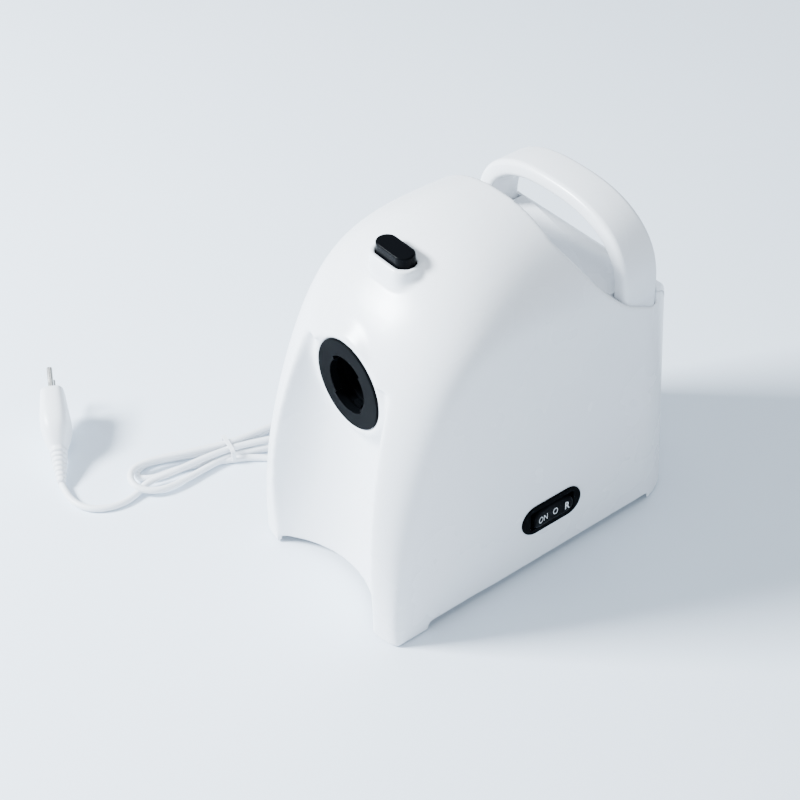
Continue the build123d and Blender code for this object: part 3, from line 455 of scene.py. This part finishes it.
def make_handle():
    """Carry handle: one soft-edged band from leg to leg."""
    half_width = (HANDLE_Y1 - HANDLE_Y0) / 2
    middle_y = (HANDLE_Y0 + HANDLE_Y1) / 2
    angles = [math.pi * k / HANDLE_STEPS for k in range(HANDLE_STEPS + 1)]
    stations = [(arch_point(HANDLE_OUTER, a), arch_point(HANDLE_INNER, a)) for a in angles]
    drop = Vector((0, 0, HANDLE_FOOT_Z - HANDLE_BASE_Z))
    stations.insert(0, tuple(p + drop for p in stations[0]))
    stations.append(tuple(p + drop for p in stations[-1]))
    rings = []
    for outer, inner in stations:
        half = (outer - inner).length / 2
        up = (outer - inner).normalized()
        centre = (outer + inner) / 2 + Vector((0, middle_y, 0))
        ring = []
        for corner, (side_u, side_v) in enumerate(((1, 1), (-1, 1), (-1, -1), (1, -1))):
            for k in range(CORNER_STEPS + 1):
                a = math.pi / 2 * (k / CORNER_STEPS + corner)
                u = side_u * (half - HANDLE_ROUND) + HANDLE_ROUND * math.cos(a)
                v = side_v * (half_width - HANDLE_ROUND) + HANDLE_ROUND * math.sin(a)
                ring.append((centre + up * u + Vector((0, v, 0))) * MM)
        rings.append(ring)
    handle = skin("handle_moulding", rings, WHITE)
    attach(handle, "machine_body")
    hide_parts("carry_handle")


make_handle()


# ---------------------------------------------------------------- switch
SWITCH_Y, SWITCH_Z, WALL_X = 4.9, 49.9, 82.5
ROCKER_HALF, ROCKER_SIDE, ROCKER_END_H, ROCKER_MID_H = 18.4, 8.0, 3.9, 2.2
ROCKER_LONG_POWER, ROCKER_SHORT_POWER, ROCKER_STEPS = 0.5, 0.62, 96
# Rings of the rocker cap: depth under the saddle, inset of the outline, scale of the outline.
ROCKER_RINGS = [(7.0, 0.6, 1), (2.4, 0.0, 1), (1.2, 0.0, 1), (0.5, 0.3, 1), (0.12, 0.9, 1),
                (0.0, 1.7, 1), (0.0, 1.7, 0.75), (0.0, 1.7, 0.45), (0.0, 1.7, 0.1)]
LEGEND_THICKNESS = 0.06
LEGEND_RAISE, LETTER_WIDTH = -1.0, 0.72
# Legends: piece name, text, place along the rocker, size and change of the stroke.
LEGENDS = [("legend_on", "ON", -9.5, 8.4, -0.08), ("legend_off", "O", 2.5, 8.6, -0.05),
           ("legend_reverse", "R", 13.0, 9.4, 0.12)]


def make_rocker():
    """Rocker cap: a saddle-faced bar with rounded ends and edges."""
    rings = []
    for depth, inset, scale in ROCKER_RINGS:
        ring = []
        for k in range(ROCKER_STEPS):
            a = 2 * math.pi * k / ROCKER_STEPS
            along = bulge(math.cos(a), ROCKER_LONG_POWER) * (ROCKER_HALF - inset) * scale
            up = bulge(math.sin(a), ROCKER_SHORT_POWER) * (ROCKER_SIDE - inset) * scale
            saddle = (ROCKER_END_H - ROCKER_MID_H) * (along / ROCKER_HALF) ** 2
            ring.append(mm(WALL_X + ROCKER_MID_H + saddle - depth, SWITCH_Y + along, SWITCH_Z + up))
        rings.append(ring)
    rocker = skin("rocker_cap", rings, GLOSS_BLACK)
    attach(rocker, "rocker")
    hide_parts("switch_rocker")


def make_legend(name, text, y, size, bold):
    """A printed legend, bent onto the rocker's saddle face."""
    data = bpy.data.curves.new(name, "FONT")
    data.body = text
    data.size = size * MM
    data.extrude = LEGEND_THICKNESS * MM
    data.offset = bold * MM
    data.align_x, data.align_y = "CENTER", "CENTER"
    data.materials.append(LEGEND)
    legend = bpy.data.objects.new(name, data)
    bpy.context.scene.collection.objects.link(legend)
    flat = bpy.data.meshes.new_from_object(legend.evaluated_get(bpy.context.evaluated_depsgraph_get()))
    bpy.data.objects.remove(legend)
    flat.name = name
    for vertex in flat.vertices:
        across, up, out = vertex.co
        across *= LETTER_WIDTH
        reach = (across + (y - SWITCH_Y) * MM) / (ROCKER_HALF * MM)
        face = WALL_X + ROCKER_MID_H + (ROCKER_END_H - ROCKER_MID_H) * reach ** 2
        vertex.co = (face * MM + out, y * MM + across, (SWITCH_Z + LEGEND_RAISE) * MM + up)
    thing = bpy.data.objects.new(name, flat)
    bpy.context.scene.collection.objects.link(thing)
    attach(thing, "rocker")


make_rocker()
for name, text, along, size, bold in LEGENDS:
    make_legend(name, text, SWITCH_Y + along, size, bold)


# ---------------------------------------------------------------- floor and light
FLOOR_HALF = 3.0
FLOOR_TINTS = (0.76, 0.84, 0.93), (0.79, 0.86, 0.945)
WORLD_COLOR, WORLD_STRENGTH = (0.78, 0.89, 1.0), 0.7


def make_floor():
    """A large pale sheet under the machine."""
    material, tree, shader, coords = new_material("floor_sheet")
    fine = add_noise(tree, coords, 420.0, 2.0)
    broad = add_noise(tree, coords, 2.2, 2.0)
    tint = add_mix(tree, add_range(tree, broad, 0, 1), *FLOOR_TINTS)
    tree.links.new(tint, shader.inputs["Base Color"])
    add_bump(tree, shader, fine, 0.12, 0.0006)
    shader.inputs["Roughness"].default_value = 0.62
    corners = [(-FLOOR_HALF, -FLOOR_HALF, 0), (FLOOR_HALF, -FLOOR_HALF, 0),
               (FLOOR_HALF, FLOOR_HALF, 0), (-FLOOR_HALF, FLOOR_HALF, 0)]
    floor = link_mesh("floor", corners, [(0, 1, 2, 3)], material, False)


def add_area(name, place, target, size, power, color):
    """A rectangular light at a place, turned to a target."""
    data = bpy.data.lights.new(name, "AREA")
    data.shape = "RECTANGLE"
    data.size, data.size_y = size
    data.energy = power
    data.color = color
    light = bpy.data.objects.new(name, data)
    bpy.context.scene.collection.objects.link(light)
    light.location = place
    light.rotation_euler = (Vector(target) - Vector(place)).to_track_quat("-Z", "Y").to_euler()


make_floor()
add_area("key", (-1.1, -1.5, 1.35), (0, -0.05, 0.12), (0.6, 0.6), 250, (0.88, 0.945, 1.0))
add_area("fill", (1.7, -0.9, 1.1), (0, 0, 0.12), (1.6, 1.2), 12, (0.86, 0.93, 1.0))
add_area("top", (0.1, 0.3, 2.2), (0, 0, 0.1), (1.8, 1.8), 22, (0.88, 0.95, 1.0))
world = bpy.data.worlds.new("studio")
world.use_nodes = True
background = world.node_tree.nodes["Background"]
background.inputs["Color"].default_value = (*WORLD_COLOR, 1)
background.inputs["Strength"].default_value = WORLD_STRENGTH
bpy.context.scene.world = world
